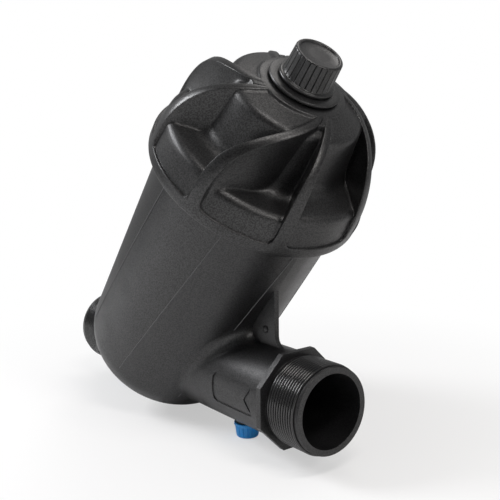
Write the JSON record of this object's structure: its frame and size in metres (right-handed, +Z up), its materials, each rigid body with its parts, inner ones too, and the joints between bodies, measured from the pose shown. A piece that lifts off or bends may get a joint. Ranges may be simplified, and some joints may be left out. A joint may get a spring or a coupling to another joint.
{
  "type": "irrigation y filter",
  "caption": "Slanted plastic Y filter for a water pipe, with two threaded male ends, a swirled screw cover, a knurled drain cap and small tap caps.",
  "frame": {"origin": "on the pipe's axis, where the inlet's male thread starts", "axes": "+X along the pipe and out of the inlet, +Z up; the vessel leans towards +X in the XZ plane"},
  "size_m": [0.2962, 0.1498, 0.2706],
  "materials": {
    "housing_plastic": "satin black with a fine grain",
    "cover_plastic": "satin black with a leathery grain",
    "cap_plastic": "satin black",
    "tap_cap_plastic": "semi-gloss blue",
    "element_plastic": "satin",
    "screen_mesh": "woven steel mesh",
    "seal_rubber": "matt"
  },
  "bodies": {
    "vessel": {"housing": "housing_plastic", "element_foot": "element_plastic", "foot_seal": "seal_rubber", "element_core": "element_plastic", "screen": "screen_mesh", "guard": "element_plastic", "element_head": "element_plastic", "head_seal": "seal_rubber", "grip": "element_plastic"},
    "cover_ring": {"cover_seal": "seal_rubber"},
    "cover": {"cover": "cover_plastic"},
    "drain_ring": {"drain_gasket": "seal_rubber"},
    "drain_cap": {"drain_cap": "cap_plastic"},
    "inlet_tap_ring": {"inlet_tap_gasket": "seal_rubber"},
    "inlet_tap_cap": {"inlet_tap_cap": "tap_cap_plastic"},
    "outlet_tap_ring": {"outlet_tap_gasket": "seal_rubber"},
    "outlet_tap_cap": {"outlet_tap_cap": "tap_cap_plastic"}
  },
  "joints": [
    {"name": "cover_rise", "type": "slide", "parent": "vessel", "child": "cover_ring", "axis": [0.6494, 0, 0.7604], "range_m": [0, 0.018]},
    {"name": "cover_turn", "type": "hinge", "parent": "cover_ring", "child": "cover", "pos_m": [-0.1951, 0, 0], "axis": [0.6494, 0, 0.7604], "range_deg": [0, 1081]},
    {"name": "drain_cap_rise", "type": "slide", "parent": "cover", "child": "drain_ring", "axis": [0.6494, 0, 0.7604], "range_m": [0, 0.009]},
    {"name": "drain_cap_turn", "type": "hinge", "parent": "drain_ring", "child": "drain_cap", "pos_m": [-0.1951, 0, 0], "axis": [0.6494, 0, 0.7604], "range_deg": [0, 1801]},
    {"name": "inlet_tap_rise", "type": "slide", "parent": "vessel", "child": "inlet_tap_ring", "axis": [0, 0, -1], "range_m": [0, 0.0052]},
    {"name": "inlet_tap_turn", "type": "hinge", "parent": "inlet_tap_ring", "child": "inlet_tap_cap", "pos_m": [-0.0859, 0, -0.037], "axis": [0, 0, -1], "range_deg": [0, 1441]},
    {"name": "outlet_tap_rise", "type": "slide", "parent": "vessel", "child": "outlet_tap_ring", "axis": [0, 0, -1], "range_m": [0, 0.0052]},
    {"name": "outlet_tap_turn", "type": "hinge", "parent": "outlet_tap_ring", "child": "outlet_tap_cap", "pos_m": [-0.2435, 0, -0.037], "axis": [0, 0, -1], "range_deg": [0, 1441]}
  ],
  "couplings": [
    {"joint": "cover_turn", "follows": "cover_rise", "rad_per_m": 1047.2},
    {"joint": "drain_cap_turn", "follows": "drain_cap_rise", "rad_per_m": 3490.7},
    {"joint": "inlet_tap_turn", "follows": "inlet_tap_rise", "rad_per_m": 4833.2},
    {"joint": "outlet_tap_turn", "follows": "outlet_tap_rise", "rad_per_m": 4833.2}
  ]
}
